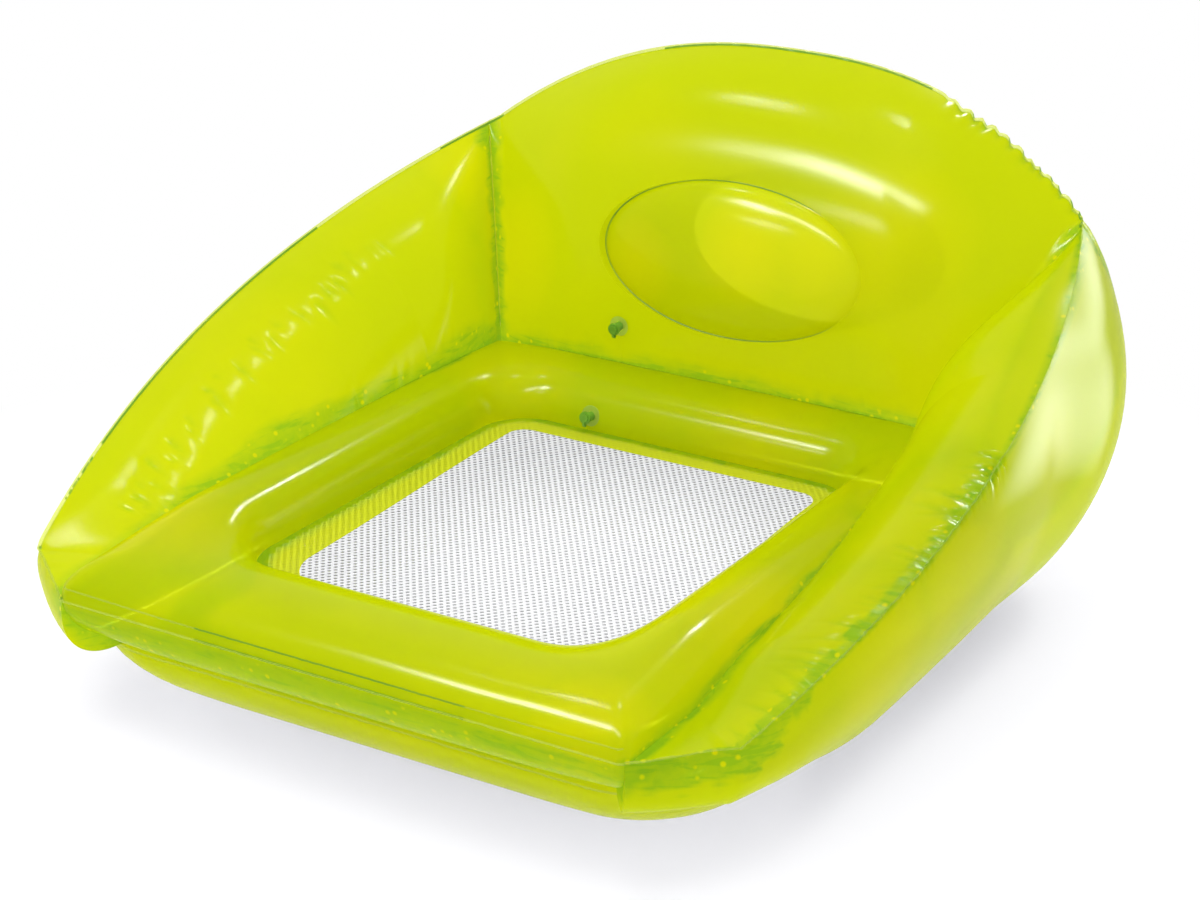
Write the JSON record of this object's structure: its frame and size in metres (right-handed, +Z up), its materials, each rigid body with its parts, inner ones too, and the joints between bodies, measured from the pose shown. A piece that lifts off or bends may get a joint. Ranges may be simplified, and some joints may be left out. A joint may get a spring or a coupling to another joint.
{
  "type": "inflatable lounge chair",
  "caption": "Clear yellow-green inflatable lounge chair with raised arms, a tall curved back with an oval headrest, a net seat and push-in valves.",
  "frame": {"origin": "on the floor, under the middle of the chair's bounding box", "axes": "+Z up; the sitter faces -Y, towards the open front; +X is the sitter's left"},
  "size_m": [0.9928, 1.0472, 0.5712],
  "materials": {
    "film": "gloss",
    "double_film": "gloss",
    "welded_seam": "satin",
    "net": "matte",
    "moulding": "satin"
  },
  "bodies": {
    "chair": {"base_tube": "film", "seat_tube": "film", "left_arm_rest": "film", "right_arm_rest": "film", "backrest": "film", "headrest_pillow": "film", "headrest_wall": "double_film", "net_border": "double_film", "seat_net": "net", "front_seam": "welded_seam", "left_arm_seam": "welded_seam", "right_arm_seam": "welded_seam", "back_seam": "welded_seam", "base_seam": "welded_seam", "left_crease_seam": "welded_seam", "right_crease_seam": "welded_seam", "back_valve_flange": "moulding", "seat_valve_flange": "moulding", "base_valve_flange": "moulding"},
    "back_valve_stem": {"back_valve_stem": "moulding"},
    "back_valve_plug": {"back_valve_plug": "moulding"},
    "back_valve_flap": {"back_valve_flap": "moulding"},
    "seat_valve_stem": {"seat_valve_stem": "moulding"},
    "seat_valve_plug": {"seat_valve_plug": "moulding"},
    "seat_valve_flap": {"seat_valve_flap": "moulding"},
    "base_valve_stem": {"base_valve_stem": "moulding"},
    "base_valve_plug": {"base_valve_plug": "moulding"},
    "base_valve_flap": {"base_valve_flap": "moulding"}
  },
  "joints": [
    {"name": "back_valve_push", "type": "slide", "parent": "chair", "child": "back_valve_stem", "axis": [-0.016, 0.9992, 0.0372], "range_m": [0, 0.011]},
    {"name": "back_valve_cap", "type": "hinge", "parent": "back_valve_stem", "child": "back_valve_plug", "pos_m": [-0.14178, 0.25473, 0.23928], "axis": [0.9999, 0.016, 0], "range_deg": [0, 150]},
    {"name": "back_valve_check", "type": "hinge", "parent": "back_valve_stem", "child": "back_valve_flap", "pos_m": [-0.14221, 0.28145, 0.24448], "axis": [-0.9999, -0.016, 0], "range_deg": [0, 60], "stiffness_Nm_per_rad": 0.000005},
    {"name": "seat_valve_push", "type": "slide", "parent": "chair", "child": "seat_valve_stem", "axis": [0, 0.9889, -0.1483], "range_m": [0, 0.011]},
    {"name": "seat_valve_cap", "type": "hinge", "parent": "seat_valve_stem", "child": "seat_valve_plug", "pos_m": [-0.126, 0.16207, 0.15898], "axis": [1, 0, 0], "range_deg": [0, 100]},
    {"name": "seat_valve_check", "type": "hinge", "parent": "seat_valve_stem", "child": "seat_valve_flap", "pos_m": [-0.126, 0.18929, 0.15914], "axis": [-1, 0, 0], "range_deg": [0, 60], "stiffness_Nm_per_rad": 0.000005},
    {"name": "base_valve_push", "type": "slide", "parent": "chair", "child": "base_valve_stem", "axis": [0, 0.9623, 0.2721], "range_m": [0, 0.011]},
    {"name": "base_valve_cap", "type": "hinge", "parent": "base_valve_stem", "child": "base_valve_plug", "pos_m": [0.126, 0.16803, 0.04234], "axis": [1, 0, 0], "range_deg": [0, 150]},
    {"name": "base_valve_check", "type": "hinge", "parent": "base_valve_stem", "child": "base_valve_flap", "pos_m": [0.126, 0.19278, 0.0537], "axis": [-1, 0, 0], "range_deg": [0, 60], "stiffness_Nm_per_rad": 0.000005}
  ]
}
